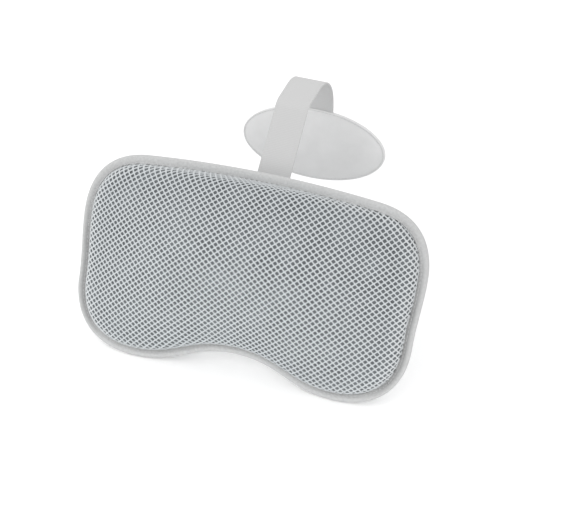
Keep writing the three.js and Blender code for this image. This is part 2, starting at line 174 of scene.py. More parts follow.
def toward(angle):
    """A direction in the side view, turned from straight up toward the outside of the tub."""
    return Vector((math.sin(angle), math.cos(angle)))


# Where the strap flexes, in the side view: y out over the rim, z up
front_bend_centre = Vector((-SADDLE / 2, STRAP_THICKNESS / 2 - FRONT_BEND))
rear_bend_centre = Vector((SADDLE / 2, STRAP_THICKNESS / 2 - REAR_BEND))
front_flex = front_bend_centre + toward(LEG_LEAN - math.pi / 2) * FRONT_BEND
pillow_flex = front_flex - toward(LEG_LEAN) * FRONT_LEG
rear_flex = rear_bend_centre + toward(REAR_FLEX_TURN) * REAR_BEND
rear_bend_end = rear_bend_centre + toward(math.pi / 2) * REAR_BEND
weight_flex = rear_bend_end - toward(0) * REAR_DROP


def leaning_place(lean, flex, v, w):
    """Puts a flat plan in the frame, leaning back, with its point (0, v, w) on a flex line."""
    turn = Matrix.Rotation(math.pi / 2 - lean, 4, "X")
    on_flex = Matrix.Translation(Vector((0, flex.x, flex.y)) * MM)
    return on_flex @ turn @ Matrix.Scale(MM, 4) @ Matrix.Translation((0, -v, -w))


PILLOW_PLACE = leaning_place(PILLOW_LEAN, pillow_flex, ROOT_RISE, TAB_LEVEL)
WEIGHT_PLACE = leaning_place(WEIGHT_LEAN, weight_flex, WEIGHT_HEIGHT / 2 + SEAM_TO_FLEX, 0)
SIDE_PLACE = Matrix.Scale(MM, 4)


# Outlines


class Outline:
    """A closed line, clockwise from its top, with each point's way inward and its point on the spine."""

    def __init__(self, points, spine):
        self.points = points
        self.spine = [spine(point) for point in points]
        self.inward = []
        for i, point in enumerate(points):
            along = points[(i + 1) % len(points)] - points[i - 1]
            self.inward.append(Vector((along.y, -along.x)).normalized())

    def __len__(self):
        return len(self.points)

    def at(self, i, inset, draw=0.0):
        """A point moved in by an inset, then drawn by a share of the way to the spine."""
        return (self.points[i] + self.inward[i] * inset).lerp(self.spine[i], draw)

    def ring(self, inset, height, draw=0.0):
        """One ring of 3-D points; inset and height may be numbers or functions of the station."""
        ring = []
        for i in range(len(self)):
            moved = self.at(i, inset(i) if callable(inset) else inset, draw)
            ring.append(Vector((moved.x, moved.y, height(i) if callable(height) else height)))
        return ring


def evenly(points, count):
    """A closed line's points, spread evenly along it."""
    steps = [(points[(i + 1) % len(points)] - point).length for i, point in enumerate(points)]
    stride = sum(steps) / count
    spread = []
    walked = 0.0
    for i, point in enumerate(points):
        while len(spread) < count and len(spread) * stride <= walked + steps[i]:
            share = (len(spread) * stride - walked) / steps[i] if steps[i] else 0
            spread.append(point.lerp(points[(i + 1) % len(points)], share))
        walked += steps[i]
    return spread


def pillow_half():
    """The right half of the pillow's outline, from the middle of its top edge down to the neck notch."""
    top = Vector((0, TOP_RISE))
    corner = Vector((HALF_WIDTH - CORNER_WIDTH, TOP_RISE - TOP_BOW))
    side = Vector((HALF_WIDTH, corner.y - CORNER_HEIGHT))
    lobe_side = Vector((HALF_WIDTH - SIDE_TAPER, LOBE_HEIGHT - LOBE_DROP))
    lobe_foot = Vector((lobe_side.x - LOBE_WIDTH, -LOBE_DROP))
    notch = Vector((0, NOTCH_DEPTH - LOBE_DROP))
    slope = -2 * TOP_BOW / corner.x
    top_reach = corner.x / 3
    corner_reach = CORNER_WIDTH * ROUND_HANDLE
    side_reach = (side.y - lobe_side.y) / 3
    notch_reach = lobe_foot.x * NOTCH_HANDLE
    spans = [
        (top, (top_reach, top.y), (corner.x - top_reach, corner.y - slope * top_reach), corner),
        (corner, (corner.x + corner_reach, corner.y + slope * corner_reach),
         (side.x, side.y + CORNER_HEIGHT * ROUND_HANDLE), side),
        (side, (side.x, side.y - side_reach), (lobe_side.x, lobe_side.y + side_reach), lobe_side),
        (lobe_side, (lobe_side.x, lobe_side.y - LOBE_HEIGHT * ROUND_HANDLE),
         (lobe_foot.x + LOBE_WIDTH * ROUND_HANDLE, lobe_foot.y), lobe_foot),
        (lobe_foot, (lobe_foot.x - notch_reach, lobe_foot.y), (notch_reach, notch.y), notch),
    ]
    half = []
    for start, leave, arrive, end in spans:
        half += interpolate_bezier(start, Vector(leave), Vector(arrive), end, 80)[:-1]
    return half + [notch]


def pillow_outline(count):
    """The pillow's outline, both halves, in a count of even steps."""
    half = pillow_half()
    mirrored = [Vector((-point.x, point.y)) for point in reversed(half[1:-1])]

    def spine(point):
        share = point.x / HALF_WIDTH
        return Vector((SPINE_HALF * share, SPINE_RISE))

    return Outline(evenly(half + mirrored, count), spine)


def weight_outline(count):
    """The counterweight's oval, in a count of steps."""
    def oval(i):
        angle = 2 * math.pi * i / count
        return Vector((WEIGHT_WIDTH / 2 * math.sin(angle), WEIGHT_HEIGHT / 2 * math.cos(angle)))

    reach = (WEIGHT_WIDTH - WEIGHT_HEIGHT) / WEIGHT_WIDTH
    return Outline([oval(i) for i in range(count)], lambda point: Vector((point.x * reach, 0)))


def puff(draw, side_power, top_power):
    """How high a filled face stands, as a share of its full height, where it is drawn in by a share."""
    return (1 - (1 - draw) ** side_power) ** (1 / top_power)


# Mesh making


def loft(bm, rings):
    """Extrudes a closed loop of points through a row of rings and gives back its last loop of edges."""
    station = bm.verts.layers.int.get("station") or bm.verts.layers.int.new("station")
    loop = bmesh.ops.create_circle(bm, segments=len(rings[0]), radius=1)["verts"]
    for i, vert in enumerate(loop):
        vert[station] = i
        vert.co = rings[0][i]
    edges = list({edge for vert in loop for edge in vert.link_edges})
    for ring in rings[1:]:
        made = bmesh.ops.extrude_edge_only(bm, edges=edges)["geom"]
        loop = {item for item in made if isinstance(item, bmesh.types.BMVert)}
        for vert in loop:
            vert.co = ring[vert[station]]
        edges = [
            item for item in made
            if isinstance(item, bmesh.types.BMEdge) and loop.issuperset(item.verts)
        ]
    return edges


def cap_holes(bm):
    """Closes every open loop of edges and gives back the new faces."""
    rims = [edge for edge in bm.edges if edge.is_boundary]
    return bmesh.ops.holes_fill(bm, edges=rims, sides=0)["faces"]


def closed_tube(bm, rings):
    """A loft whose last ring meets its first."""
    loft(bm, [*rings, rings[0]])
    bmesh.ops.remove_doubles(bm, verts=bm.verts, dist=0.001)


def place_piece(bm, name, place, material, body=None, replaces=()):
    """Makes a placed object of a bmesh, smooth shaded, riding on a body."""
    bmesh.ops.recalc_face_normals(bm, faces=bm.faces)
    bm.transform(place)
    for face in bm.faces:
        face.smooth = True
    mesh = bpy.data.meshes.new(name)
    bm.to_mesh(mesh)
    bm.free()
    piece = bpy.data.objects.new(name, mesh)
    bpy.context.scene.collection.objects.link(piece)
    piece.data.materials.append(material)
    dress(piece, body, replaces)
    return piece


def dress(piece, body, replaces):
    """Says which body a piece rides on and the CAD nodes it stands for."""
    if body:
        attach(piece, body)
    if replaces:
        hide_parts(*replaces)


def modifier(piece, kind, **values):
    """Adds a modifier with its values set."""
    made = piece.modifiers.new(kind.title(), kind)
    for key, value in values.items():
        setattr(made, key, value)
    return made


def settle(piece):
    """Applies a piece's modifiers to its mesh."""
    shown = piece.evaluated_get(bpy.context.evaluated_depsgraph_get())
    mesh = bpy.data.meshes.new_from_object(shown)
    piece.modifiers.clear()
    piece.data = mesh
    return piece


def swell(piece, sewn, pressure, cap):
    """Fills a closed cover under inner pressure. Sewn points stay; the rest move at most cap metres."""
    rest = [vert.co.copy() for vert in piece.data.vertices]
    group = piece.vertex_groups.new(name="sewn")
    group.add([vert.index for vert in piece.data.vertices if sewn(vert.co)], 1.0, "REPLACE")
    cloth = piece.modifiers.new("Swell", "CLOTH")
    cloth.settings.use_pressure = True
    cloth.settings.uniform_pressure_force = pressure
    cloth.settings.effector_weights.gravity = 0
    cloth.settings.vertex_group_mass = group.name
    cloth.point_cache.frame_start = 1
    cloth.point_cache.frame_end = SWELL_FRAMES
    for step in range(1, SWELL_FRAMES + 1):
        bpy.context.scene.frame_set(step)
    settle(piece)
    bpy.context.scene.frame_set(1)
    for vert, start in zip(piece.data.vertices, rest):
        moved = vert.co - start
        if moved.length > cap:
            vert.co = start + moved.normalized() * cap
    return piece


# Materials


class Finish:
    """A node material: pattern nodes are added and linked to its one shader."""

    def __init__(self, name, colour, roughness, **sockets):
        self.material = bpy.data.materials.new(name)
        self.material.use_nodes = True
        self.tree = self.material.node_tree
        self.shader = self.tree.nodes["Principled BSDF"]
        self.shader.inputs["Base Color"].default_value = (*colour, 1)
        self.shader.inputs["Roughness"].default_value = roughness
        for socket, value in sockets.items():
            self.shader.inputs[socket.replace("_", " ")].default_value = value
        self.coords = self.tree.nodes.new("ShaderNodeTexCoord")

    def node(self, kind, inputs=None, **values):
        made = self.tree.nodes.new("ShaderNode" + kind)
        for key, value in values.items():
            setattr(made, key, value)
        for socket, value in (inputs or {}).items():
            if isinstance(value, bpy.types.NodeSocket):
                self.tree.links.new(value, made.inputs[socket])
            else:
                made.inputs[socket].default_value = value
        return made

    def turned(self, angle=0.0):
        """Object coordinates, turned about the frame's X axis so that they lie on a leaning plan."""
        mapping = self.node("Mapping", {"Vector": self.coords.outputs["Object"]})
        mapping.inputs["Rotation"].default_value = (angle, 0, 0)
        return mapping.outputs["Vector"]

    def noise(self, scale, vector, detail=2.0, roughness=0.5):
        inputs = {"Vector": vector, "Scale": scale, "Detail": detail, "Roughness": roughness}
        return self.node("TexNoise", inputs).outputs["Fac"]

    def wave(self, vector, scale, distortion, direction):
        """Stripes across one direction, wavering by a distortion."""
        inputs = {"Vector": vector, "Scale": scale, "Distortion": distortion}
        return self.node("TexWave", inputs, bands_direction=direction).outputs["Fac"]

    def attribute(self, name):
        """A value that the mesh carries at its points."""
        return self.node("Attribute", attribute_name=name).outputs["Fac"]

    def mix(self, share, first, second):
        """A colour between two."""
        return self.node("MixRGB", {"Fac": share, "Color1": first, "Color2": second}).outputs["Color"]

    def math(self, operation, first, second=0.0):
        return self.node("Math", {0: first, 1: second}, operation=operation).outputs[0]

    def ramp(self, fac, stops):
        """A colour that runs through (position, colour) stops."""
        made = self.node("ValToRGB", {"Fac": fac})
        ramp = made.color_ramp
        for i, (position, colour) in enumerate(stops):
            element = ramp.elements[i] if i < 2 else ramp.elements.new(position)
            element.position = position
            element.color = (*colour, 1)
        return made.outputs["Color"]

    def colour(self, socket):
        self.tree.links.new(socket, self.shader.inputs["Base Color"])

    def roughness(self, fac, low, high):
        made = self.node("MapRange", {"Value": fac, "To Min": low, "To Max": high})
        self.tree.links.new(made.outputs["Result"], self.shader.inputs["Roughness"])

    def bump(self, height, depth, strength=1.0):
        made = self.node("Bump", {"Height": height, "Distance": depth, "Strength": strength})
        self.tree.links.new(made.outputs["Normal"], self.shader.inputs["Normal"])


def shades(colour, spread):
    """Stops from a little darker than a colour to a little lighter."""
    dark = tuple(channel * (1 - spread) for channel in colour)
    light = tuple(min(1.0, channel * (1 + spread)) for channel in colour)
    return [(0.3, dark), (0.7, light)]


ON_PILLOW = PILLOW_LEAN - math.pi / 2
ON_WEIGHT = WEIGHT_LEAN - math.pi / 2


def net_finish():
    """Pale yarn, with a painted highlight along the middle of each rib, painted shade at the rib's sides,
    and a painted highlight toward the net's foot at the tape.
    """
    finish = Finish("net_yarn", (0.615, 0.648, 0.667), 0.72, Sheen_Weight=0.12, Specular_IOR_Level=0.35)
    plan = finish.turned(ON_PILLOW)
    fleck = finish.noise(900, plan, 3, 0.7)
    # Painted shade and highlight: a darker yarn colour at the sides of each rib and a lighter one along its
    # middle.
    side = finish.ramp(fleck, shades((0.525, 0.554, 0.57), 0.08))
    top = finish.ramp(fleck, shades((0.64, 0.674, 0.692), 0.08))
    yarn = finish.mix(finish.attribute("painted_rib_highlight"), side, top)
    # Painted highlight: the yarn is mixed toward a pale colour near the net's foot.
    painted_hem_highlight = finish.math("MULTIPLY", finish.attribute("painted_hem_highlight"), 0.7)
    pale = finish.ramp(fleck, shades((0.84, 0.86, 0.87), 0.05))
    finish.colour(finish.mix(painted_hem_highlight, yarn, pale))
    finish.bump(finish.noise(4200, plan, 2), 0.00012, 0.6)
    return finish.material


def backing_finish():
    """Dark knit seen through the net's holes, a little patchy."""
    finish = Finish("backing_knit", (0.29, 0.31, 0.325), 0.95, Sheen_Weight=0.1, Specular_IOR_Level=0.2)
    plan = finish.turned(ON_PILLOW)
    knit = finish.math("MULTIPLY", finish.wave(plan, 210.0, 1.5, "Y"), finish.wave(plan, 260.0, 1.0, "X"))
    thick = finish.ramp(knit, [(0.1, (0.18, 0.193, 0.203)), (0.8, (0.25, 0.267, 0.28))])
    thin = finish.ramp(knit, [(0.1, (0.25, 0.269, 0.283)), (0.8, (0.35, 0.373, 0.392))])
    patches = finish.ramp(finish.noise(38, plan, 3, 0.6), [(0.35, (0, 0, 0)), (0.65, (1, 1, 1))])
    finish.colour(finish.mix(patches, thick, thin))
    finish.bump(knit, 0.0002, 0.7)
    return finish.material


def felt_finish(name, colour):
    """Soft felt, darkened by painted shade along the seam beside the net."""
    finish = Finish(name, colour, 0.95, Sheen_Weight=0.25, Sheen_Roughness=0.6, Specular_IOR_Level=0.2)
    plan = finish.turned(ON_PILLOW)
    mottle = finish.noise(420, plan, 6, 0.7)
    # Painted shade: the seam shade colour is the felt's own colour darkened to 58 percent.
    unshaded_felt = finish.ramp(mottle, shades(colour, 0.1))
    seam_shade_felt = finish.ramp(mottle, shades([channel * 0.58 for channel in colour], 0.08))
    finish.colour(finish.mix(finish.attribute("painted_seam_shade"), unshaded_felt, seam_shade_felt))
    fibres = finish.noise(2400, plan, 4, 0.7)
    finish.bump(finish.math("ADD", fibres, mottle), 0.0002, 0.6)
    return finish.material


def panel_finish():
    """Plain woven cloth on the pillow's back."""
    finish = Finish("panel_weave", (0.47, 0.49, 0.5), 0.9, Sheen_Weight=0.15, Specular_IOR_Level=0.25)
    plan = finish.turned(ON_PILLOW)
    weave = finish.math("MAXIMUM", finish.wave(plan, 330.0, 0.6, "X"), finish.wave(plan, 330.0, 0.6, "Y"))
    finish.colour(finish.ramp(weave, [(0.2, (0.4, 0.42, 0.43)), (0.9, (0.5, 0.52, 0.53))]))
    finish.bump(weave, 0.00018, 0.7)
    return finish.material


def webbing_finish():
    """Ribbed webbing, mapped along the strap."""
    finish = Finish("strap_webbing", (0.67, 0.67, 0.67), 0.8, Sheen_Weight=0.1, Specular_IOR_Level=0.3)
    along = finish.coords.outputs["UV"]
    weave = finish.math("MULTIPLY", finish.wave(along, 190.0, 0.3, "Y"), finish.wave(along, 260.0, 0.4, "X"))
    finish.colour(finish.ramp(weave, [(0.0, (0.65, 0.65, 0.65)), (0.8, (0.7, 0.7, 0.7))]))
    finish.bump(weave, 0.00012, 0.6)
    return finish.material


def cover_finish():
    """Fine pale cloth of the counterweight, a little clouded."""
    finish = Finish("cover_cloth", (0.87, 0.87, 0.87), 0.78, Sheen_Weight=0.1, Specular_IOR_Level=0.3)
    plan = finish.turned(ON_WEIGHT)
    weave = finish.math("MAXIMUM", finish.wave(plan, 420.0, 0.5, "X"), finish.wave(plan, 420.0, 0.5, "Y"))
    finish.colour(finish.ramp(finish.noise(90, plan, 3), shades((0.87, 0.87, 0.87), 0.02)))
    finish.bump(weave, 0.0001, 0.5)
    return finish.material


def thread_finish(name, colour):
    """Twisted sewing thread."""
    finish = Finish(name, colour, 0.6, Sheen_Weight=0.1, Specular_IOR_Level=0.4)
    twist = finish.wave(finish.coords.outputs["Object"], 900.0, 2.0, "DIAGONAL")
    finish.colour(finish.ramp(twist, shades(colour, 0.07)))
    finish.bump(twist, 0.0001, 0.6)
    return finish.material


def plate_finish():
    """Rolled steel of the hidden weight."""
    finish = Finish("rolled_steel", (0.33, 0.34, 0.35), 0.4, Metallic=1.0)
    grain = finish.node("Mapping", {"Vector": finish.turned(ON_WEIGHT)})
    grain.inputs["Scale"].default_value = (1, 30, 1)
    brushed = finish.noise(400, grain.outputs["Vector"], 3)
    finish.roughness(brushed, 0.3, 0.5)
    finish.bump(brushed, 0.00005, 0.4)
    return finish.material


# Pillow


def wall_rise(point):
    """How high the dome's wall stands: highest at the middle of the top edge, and raised at the notch."""
    middle = (1 - (point.x / HALF_WIDTH) ** 2) ** 3
    return WALL_RISE + (WALL_TOP_SWELL if point.y > 0 else WALL_NOTCH_SWELL) * middle


def wall_run(point):
    """How far in the dome's wall leans: furthest at the pillow's two ends."""
    return WALL_RUN + WALL_END_RUN * (abs(point.x) / HALF_WIDTH) ** 2.5


def dome_rings(outline, depth):
    """The dome's rings, a depth below the front of the net: a low rounded wall, and a broad crown."""
    foot = FOOT_INSET + depth

    def reach(i, turn):
        return foot + wall_run(outline.points[i]) * (1 - math.cos(turn))

    def level(i, turn, draw):
        wall = wall_rise(outline.points[i]) * math.sin(turn)
        return NET_LEVEL - depth + wall + (DOME_RISE - wall) * puff(draw, CROWN_POWER, 1)

    rings = []
    for step in range(8):
        turn = WALL_TURN * step / 7
        rings.append(outline.ring(lambda i: reach(i, turn), lambda i: level(i, turn, 0)))
    for draw in (0.05, 0.12, 0.2, 0.28, 0.38, 0.48, 0.6, 0.7, 0.8, 0.9):
        rings.append(outline.ring(lambda i: reach(i, WALL_TURN), lambda i: level(i, WALL_TURN, draw), draw))
    return rings


def back_rings(outline, depth, shares):
    """The rounded back's rings, a depth inside the back sheet, out to its flat middle at a share of 1."""
    rings = []
    for share in shares:
        sunk = (BACK_DEPTH + PANEL_LEVEL) * puff(share, 2, 2)
        rings.append(outline.ring(FOOT_INSET + depth, PANEL_LEVEL + depth - sunk, BACK_FLAT_DRAW * share))
    return rings


def cushion(material):
    """The filled body under the net: remeshed, swollen and then smoothed."""
    outline = pillow_outline(240)
    shares = [1, 0.85, 0.7, 0.55, 0.4, 0.28, 0.17, 0.08]
    bm = bmesh.new()
    loft(bm, [*back_rings(outline, UNDER_NET, shares), *dome_rings(outline, UNDER_NET)])
    cap_holes(bm)
    piece = place_piece(bm, "pillow_cushion", PILLOW_PLACE, material)
    modifier(piece, "REMESH", mode="VOXEL", voxel_size=CUSHION_VOXEL, use_smooth_shade=True)
    settle(piece)
    to_plan = PILLOW_PLACE.inverted()
    swell(piece, lambda co: (to_plan @ co).z < SEWN_LEVEL, SWELL_PRESSURE, SWELL_CAP)
    modifier(piece, "SMOOTH", factor=0.5, iterations=1)
    modifier(piece, "SUBSURF", levels=1, render_levels=1)
    settle(piece)
    for face in piece.data.polygons:
        face.use_smooth = True
    dress(piece, "pillow", ("mesh_backing", "foam_core"))
    return piece


class NetLay:
    """How the flat net lies on the cushion: paths over it from its crest out to its foot, one a degree."""

    def __init__(self, bed):
        to_plan = PILLOW_PLACE.inverted()
        self.surface = BVHTree.FromPolygons(
            [to_plan @ vert.co for vert in bed.data.vertices],
            [tuple(face.vertices) for face in bed.data.polygons],
        )
        self.crest = Vector((0, SPINE_RISE))
        outline = pillow_outline(960)
        foot = [outline.at(i, FOOT_INSET) - self.crest for i in range(len(outline))]
        turns = [math.atan2(point.x, point.y) % (2 * math.pi) for point in foot]
        self.paths = []
        for k in range(NET_PATHS):
            turn = 2 * math.pi * k / NET_PATHS
            i = min(range(len(foot)), key=lambda n: abs(turns[n] - turn))
            self.paths.append(self.walk(toward(turn), foot[i].length))

    def walk(self, way, reach):
        """Steps out from the crest, finest at the foot: (distance walked, distance in plan, height)."""
        steps = []
        walked = 0.0
        for step in range(PATH_STEPS + 1):
            out = reach * (1 - (1 - step / PATH_STEPS) ** 2)
            place = self.crest + way * out
            hit = self.surface.ray_cast(Vector((*place, 200)), Vector((0, 0, -1)))[0]
            height = max(hit.z, NET_LEVEL) if hit else NET_LEVEL
            if steps:
                walked += math.hypot(out - steps[-1][1], height - steps[-1][2])
            steps.append((walked, out, height))
        drop = steps[-1][2] - NET_LEVEL
        return [*steps, (walked + drop + 0.001, reach + 0.001, NET_LEVEL)]

    def polar(self, point):
        """A flat point's distance from the crest, its two nearest paths and its share between them."""
        arm = point.xy - self.crest
        turn = math.atan2(arm.x, arm.y) % (2 * math.pi) / (2 * math.pi) * NET_PATHS
        k = int(turn) % NET_PATHS
        return arm.length, self.paths[k], self.paths[(k + 1) % NET_PATHS], turn - int(turn)

    def spare(self, point):
        """How much net is left between a flat point and the dome's foot."""
        distance, path, after, share = self.polar(point)
        return path[-1][0] + (after[-1][0] - path[-1][0]) * share - distance

    def place(self, point):
        """Where a flat point of the net lies, on the cushion or under the tape."""
        distance, path, after, share = self.polar(point)
        (out, height), (next_out, next_height) = along_path(path, distance), along_path(after, distance)
        out += (next_out - out) * share
        height += (next_height - height) * share
        spot = self.crest + (point.xy - self.crest).normalized() * out
        if self.spare(point) <= 0:
            return Vector((*spot, NET_LEVEL - NET_THICKNESS))
        hit, normal, _, _ = self.surface.find_nearest(Vector((*spot, height)))
        return hit + normal * NET_LIFT


def along_path(path, distance):
    """Distance in plan and height for a distance walked along a path, and beyond its end."""
    if distance >= path[-1][0]:
        return path[-1][1] + distance - path[-1][0], path[-1][2]
    i = max(1, bisect.bisect_left(path, (distance,)))
    (start, out, height), (end, next_out, next_height) = path[i - 1], path[i]
    share = (distance - start) / (end - start)
    return out + (next_out - out) * share, height + (next_height - height) * share


def net_cover(bed, material):
    """The sheet of open diamond net, drawn over the cushion and held in the binding."""
    lay = NetLay(bed)
    bm = bmesh.new()
    bmesh.ops.create_grid(bm, x_segments=NET_ROWS, y_segments=NET_ROWS, size=NET_ROWS / 2)
    diagonal = Matrix(((NET_ACROSS, NET_ACROSS, 0), (NET_UP, -NET_UP, 0), (0, 0, 1))).to_4x4()
    bm.transform(Matrix.Translation((0, SPINE_RISE, 0)) @ diagonal)
    held = BINDING_WIDTH - LAYER_INSET - 3
    outside = [face for face in bm.faces if lay.spare(face.calc_center_median()) < -held]
    bmesh.ops.delete(bm, geom=outside, context="FACES")
    bmesh.ops.bisect_edges(bm, edges=bm.edges, cuts=1)
    # Painted rib highlight share: 1 along the middle of each rib, 0 at the edges of its holes.
    painted_rib_highlight = bm.verts.layers.float.new("painted_rib_highlight")
    painted_hem_highlight = bm.verts.layers.float.new("painted_hem_highlight")
    for vert in bm.verts:
        vert[painted_rib_highlight] = 1.0
    cells = list(bm.faces)
    bmesh.ops.inset_individual(bm, faces=cells, thickness=NET_RIB / 2)
    hole = (NET_ACROSS * NET_UP * 2 / math.hypot(NET_ACROSS, NET_UP) - NET_RIB) / 2
    for cell in cells:
        middle = cell.calc_center_median()
        for vert in cell.verts:
            vert[painted_rib_highlight] = 0.0
            arm = vert.co - middle
            vert.co = middle + arm * (1 + (hole * 1.12 / arm.length - 1) * 0.6)
    open_cells = [cell for cell in cells if lay.spare(cell.calc_center_median()) > NET_SELVAGE]
    bmesh.ops.delete(bm, geom=open_cells, context="FACES_ONLY")
    for vert in bm.verts:
        # Painted highlight share: full at the net's foot, fading to none a fixed reach inward.
        vert[painted_hem_highlight] = min(1, max(0, 1 - lay.spare(vert.co) / NET_HEM_HIGHLIGHT_REACH))
        vert.co = lay.place(vert.co)
    piece = place_piece(bm, "net_cover", PILLOW_PLACE, material, "pillow", ("front_mesh",))
    modifier(piece, "SOLIDIFY", thickness=NET_THICKNESS * MM, offset=1.0)
    return piece


def wander(i, count, *waves):
    """A slow unevenness along a seam, made of whole waves so that it closes on itself."""
    return sum(size * math.sin(2 * math.pi * turns * i / count + phase) for turns, size, phase in waves)


def tape_sink(point):
    """How far the tape's inner edge is drawn down: most at the pillow's ends, least along its top."""
    end = min(1, max(0, (abs(point.x) - 115) / 50))
    low = 1 - 0.7 * min(1, max(0, point.y / 60))
    return end * end * (3 - 2 * end) * low


def binding(material):
    """The tape folded over the edge, dimpled where the seam pulls at each needle hole."""
    outline = pillow_outline(STATIONS)
    sink = [tape_sink(point) for point in outline.points]
    radius = BINDING_FRONT / 2

    def pull(i):
        """How hard the seam pulls at a station: fully at each needle hole."""
        return 0.5 + 0.5 * math.cos(2 * math.pi * i * STITCHES / STATIONS)

    def lip(inset, height, dimple, swing=1.0, drop=0.0):
        """One line of the tape's section, along the whole edge."""
        def height_at(i):
            slow = swing * wander(i, STATIONS, (17, 0.1, 0.4), (41, 0.07, 1.9))
            return height - drop * sink[i] - dimple * pull(i) + slow

        def inset_at(i):
            return inset + wander(i, STATIONS, (23, 0.12, 1.1), (57, 0.08, 0.3)) * (inset > 5.5)

        return outline.ring(inset_at, height_at)

    section = []
    for step in range(13):
        angle = math.pi * (step / 12 * 0.86 - 0.5)
        section.append(lip(3.6 * (1 - math.cos(angle)), radius + 3.7 * math.sin(angle), 0))
    section += [
        lip(3.4, 6.95, 0, drop=0.2),
        lip(5.0, 7.0, 0.05, drop=0.7),
        lip(5.8, 6.95, 0.12, drop=0.95),
        lip(SEAM_INSET, 6.87, 0.2, drop=1.0),
        lip(6.6, 6.87, 0.12, drop=1.1),
        lip(7.2, 6.85, 0.05, drop=1.2),
        lip(7.9, 6.85, 0.03, drop=1.2),
        lip(8.4, 6.7, 0, drop=1.1),
        lip(8.4, 5.2, 0, swing=0),
        lip(2.2, 5.2, 0, swing=0),
        lip(2.2, 1.5, 0, swing=0),
        lip(7.7, 1.35, 0, swing=0),
        lip(7.7, 0.5, 0, swing=0),
        lip(7.3, 0.1, 0, swing=0),
        lip(SEAM_INSET, 0.2, -0.15, swing=0),
        lip(5.2, 0.02, 0, swing=0),
    ]
    bm = bmesh.new()
    closed_tube(bm, section)
    station = bm.verts.layers.int["station"]
    # Painted seam shade share: rising toward the tape's inner edge, weighted by how far the tape sinks at
    # the pillow's ends, with a fixed 0.55 share along the lower half.
    painted_seam_shade = bm.verts.layers.float.new("painted_seam_shade")
    for vert in bm.verts:
        i = vert[station]
        inset = (vert.co.xy - outline.points[i]).length
        lower_seam_shade = 0.55 * min(1, max(0, (inset - 3.5) / 3)) * (outline.points[i].y < 0)
        vert[painted_seam_shade] = max(lower_seam_shade, min(1, max(0, (inset - 1) / 4.5)) * sink[i])
    return place_piece(bm, "edge_tape", PILLOW_PLACE, material, "pillow",
                       ("edge_binding",))


def stitch(bm, start, end, radius, lift):
    """One stitch of thread between two needle holes, round in section and bowed a little off the cloth."""
    along = end - start
    turn = Vector((0, 0, 1)).rotation_difference(along).to_matrix().to_4x4()
    shape = Matrix.Diagonal((radius, radius, along.length * 0.56, 1))
    middle = Matrix.Translation((start + end) / 2 + lift)
    bmesh.ops.create_uvsphere(bm, u_segments=6, v_segments=5, radius=1, matrix=middle @ turn @ shape)


def sewn_run(bm, points, radius, lift, closed=True):
    """A row of stitches through points, with a short gap at each needle hole."""
    count = len(points) if closed else len(points) - 1
    for i in range(count):
        start = points[i]
        end = points[(i + 1) % len(points)]
        stitch(bm, start.lerp(end, 0.1), start.lerp(end, 0.9), radius, lift)


def binding_seam(material):
    """The seam's two threads, one on the front of the tape and one on its back."""
    outline = pillow_outline(STITCHES)
    front = bmesh.new()
    needle_line = outline.ring(SEAM_INSET, lambda i: 6.65 - tape_sink(outline.points[i]))
    sewn_run(front, needle_line, 0.32, Vector((0, 0, 0.1)))
    place_piece(front, "binding_needle_stitches", PILLOW_PLACE, material, "pillow",
                ("binding_needle_thread",))
    back = bmesh.new()
    sewn_run(back, outline.ring(SEAM_INSET, 0.0), 0.34, Vector((0, 0, -0.1)))
    place_piece(back, "binding_bobbin_stitches", PILLOW_PLACE, material, "pillow",
                ("binding_bobbin_thread",))


def back_sheet(material):
    """The sheet that closes the rounded back, puckered where its edge goes into the tape's fold."""
    count = PUCKERS * 4
    outline = pillow_outline(count)
    shares = [0.04, 0.1, 0.17, 0.26, 0.36, 0.48, 0.6, 0.72, 0.84, 0.93, 1]
    rounded = back_rings(outline, 0, shares)
    for share, ring in zip(shares, rounded):
        for i, point in enumerate(ring):
            fold = 0.5 + 0.5 * math.sin(2 * math.pi * PUCKERS * i / count)
            slow = wander(i, count, (19, 0.5, 0.7), (31, 0.35, 2.1))
            point.z += (1 - share) ** 2 * (0.5 * fold + slow * min(1, share * 6))
    bm = bmesh.new()
    loft(bm, [outline.ring(2.6, 2.25), outline.ring(FOOT_INSET - 0.1, 2.25), *rounded])
    flat = [edge for edge in bm.edges if edge.is_boundary and edge.verts[0].co.z < 0]
    middle = bmesh.ops.holes_fill(bm, edges=flat, sides=0)["faces"]
    bmesh.ops.inset_region(bm, faces=middle, thickness=6, use_even_offset=True)
    piece = place_piece(bm, "back_sheet", PILLOW_PLACE, material, "pillow",
                        ("back_panel",))
    modifier(piece, "SOLIDIFY", thickness=0.6 * MM, offset=0.0)
    return piece


# Strap


def round_off(start, corner, end):
    """Points of a curve that rounds off a corner, without its start."""
    return [Vector(point) for point in interpolate_bezier(start, corner, corner, end, 8)[1:]]


